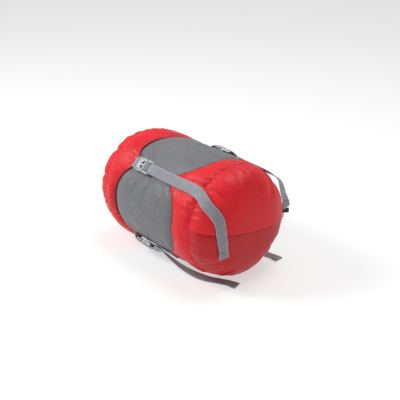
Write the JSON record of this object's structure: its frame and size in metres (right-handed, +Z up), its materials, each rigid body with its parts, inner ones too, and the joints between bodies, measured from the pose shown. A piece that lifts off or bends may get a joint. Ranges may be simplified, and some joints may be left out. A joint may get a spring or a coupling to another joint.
{
  "type": "compression sack",
  "caption": "Stuffed drawcord compression sack with a strapped-down end lid, side-release buckles and webbing straps, lying on its side.",
  "frame": {"origin": "on the resting surface, under the sack's axis, midway between the lid's and the base's shoulder seams", "axes": "+X along the sack's axis towards the base end, -Y is the front, +Z up"},
  "size_m": [0.3508, 0.2367, 0.2154],
  "materials": {
    "stuffing": "soft stuffed fabric",
    "grey_fabric": "coated nylon, slight sheen",
    "red_fabric": "coated nylon, slight sheen",
    "binding": "woven tape",
    "cord": "braided cord",
    "black_plastic": "moulded",
    "spring_steel": "bright wire",
    "black_webbing": "woven tape",
    "label": "satin tape, blank",
    "thread": "dense stitching",
    "grey_webbing": "flat woven webbing",
    "buckle_plastic": "moulded, satin"
  },
  "bodies": {
    "sack": {"packed_load": "stuffing", "body_tube": "grey_fabric", "mouth_collar": "grey_fabric", "drawcord": "cord", "cord_lock_barrel": "black_plastic", "cord_lock_spring": "spring_steel", "base_side_band": "red_fabric", "base_end_upper": "red_fabric", "base_end_lower": "red_fabric", "shoulder_binding": "binding", "pull_tab": "black_webbing", "care_label": "label", "anchor_front_top": "grey_webbing", "anchor_back_top": "grey_webbing", "anchor_front_bottom": "grey_webbing", "anchor_back_bottom": "grey_webbing", "tail_front_top": "grey_webbing", "tail_back_top": "grey_webbing", "tail_front_bottom": "grey_webbing", "tail_back_bottom": "grey_webbing", "anchor_bartacks": "thread"},
    "lid": {"lid_skirt": "red_fabric", "lid_crown": "red_fabric", "tab_bartacks": "thread", "tab_front_top": "grey_webbing", "turn_front_top": "grey_webbing", "socket_front_top": "buckle_plastic", "plug_front_top": "buckle_plastic", "tab_back_top": "grey_webbing", "turn_back_top": "grey_webbing", "socket_back_top": "buckle_plastic", "plug_back_top": "buckle_plastic", "tab_front_bottom": "grey_webbing", "turn_front_bottom": "grey_webbing", "socket_front_bottom": "buckle_plastic", "plug_front_bottom": "buckle_plastic", "tab_back_bottom": "grey_webbing", "turn_back_bottom": "grey_webbing", "socket_back_bottom": "buckle_plastic", "plug_back_bottom": "buckle_plastic"},
    "lock_button": {"cord_lock_button": "black_plastic"},
    "arm_front_top_left": {"arm_front_top_left": "buckle_plastic"},
    "arm_front_top_right": {"arm_front_top_right": "buckle_plastic"},
    "arm_back_top_left": {"arm_back_top_left": "buckle_plastic"},
    "arm_back_top_right": {"arm_back_top_right": "buckle_plastic"},
    "arm_front_bottom_left": {"arm_front_bottom_left": "buckle_plastic"},
    "arm_front_bottom_right": {"arm_front_bottom_right": "buckle_plastic"},
    "arm_back_bottom_left": {"arm_back_bottom_left": "buckle_plastic"},
    "arm_back_bottom_right": {"arm_back_bottom_right": "buckle_plastic"}
  },
  "joints": [
    {"name": "lid_slide", "type": "slide", "parent": "sack", "child": "lid", "axis": [-1, 0, 0], "range_m": [0, 0.05]},
    {"name": "lock_button_slide", "type": "slide", "parent": "sack", "child": "lock_button", "axis": [0, 0, -1], "range_m": [0, 0.003], "stiffness_N_per_m": 250, "deforming": ["cord_lock_spring"]},
    {"name": "squeeze_front_top_left", "type": "hinge", "parent": "lid", "child": "arm_front_top_left", "pos_m": [-0.0251, -0.07658, 0.19303], "axis": [0, -0.7071, 0.7071], "range_deg": [0, 7], "stiffness_Nm_per_rad": 0.05},
    {"name": "squeeze_front_top_right", "type": "hinge", "parent": "lid", "child": "arm_front_top_right", "pos_m": [-0.0251, -0.08733, 0.18228], "axis": [0, 0.7071, -0.7071], "range_deg": [0, 7], "stiffness_Nm_per_rad": 0.05},
    {"name": "squeeze_back_top_left", "type": "hinge", "parent": "lid", "child": "arm_back_top_left", "pos_m": [0.0209, 0.08733, 0.18228], "axis": [0, 0.7071, 0.7071], "range_deg": [0, 7], "stiffness_Nm_per_rad": 0.05},
    {"name": "squeeze_back_top_right", "type": "hinge", "parent": "lid", "child": "arm_back_top_right", "pos_m": [0.0209, 0.07658, 0.19303], "axis": [0, -0.7071, -0.7071], "range_deg": [0, 7], "stiffness_Nm_per_rad": 0.05},
    {"name": "squeeze_front_bottom_left", "type": "hinge", "parent": "lid", "child": "arm_front_bottom_left", "pos_m": [-0.0251, -0.08733, 0.02912], "axis": [0, -0.7071, -0.7071], "range_deg": [0, 7], "stiffness_Nm_per_rad": 0.05},
    {"name": "squeeze_front_bottom_right", "type": "hinge", "parent": "lid", "child": "arm_front_bottom_right", "pos_m": [-0.0251, -0.07658, 0.01837], "axis": [0, 0.7071, 0.7071], "range_deg": [0, 7], "stiffness_Nm_per_rad": 0.05},
    {"name": "squeeze_back_bottom_left", "type": "hinge", "parent": "lid", "child": "arm_back_bottom_left", "pos_m": [0.0209, 0.07658, 0.01837], "axis": [0, 0.7071, -0.7071], "range_deg": [0, 7], "stiffness_Nm_per_rad": 0.05},
    {"name": "squeeze_back_bottom_right", "type": "hinge", "parent": "lid", "child": "arm_back_bottom_right", "pos_m": [0.0209, 0.08733, 0.02912], "axis": [0, -0.7071, 0.7071], "range_deg": [0, 7], "stiffness_Nm_per_rad": 0.05}
  ],
  "couplings": [
    {"joint": "squeeze_front_top_right", "follows": "squeeze_front_top_left", "ratio": 1},
    {"joint": "squeeze_back_top_right", "follows": "squeeze_back_top_left", "ratio": 1},
    {"joint": "squeeze_front_bottom_right", "follows": "squeeze_front_bottom_left", "ratio": 1},
    {"joint": "squeeze_back_bottom_right", "follows": "squeeze_back_bottom_left", "ratio": 1}
  ]
}
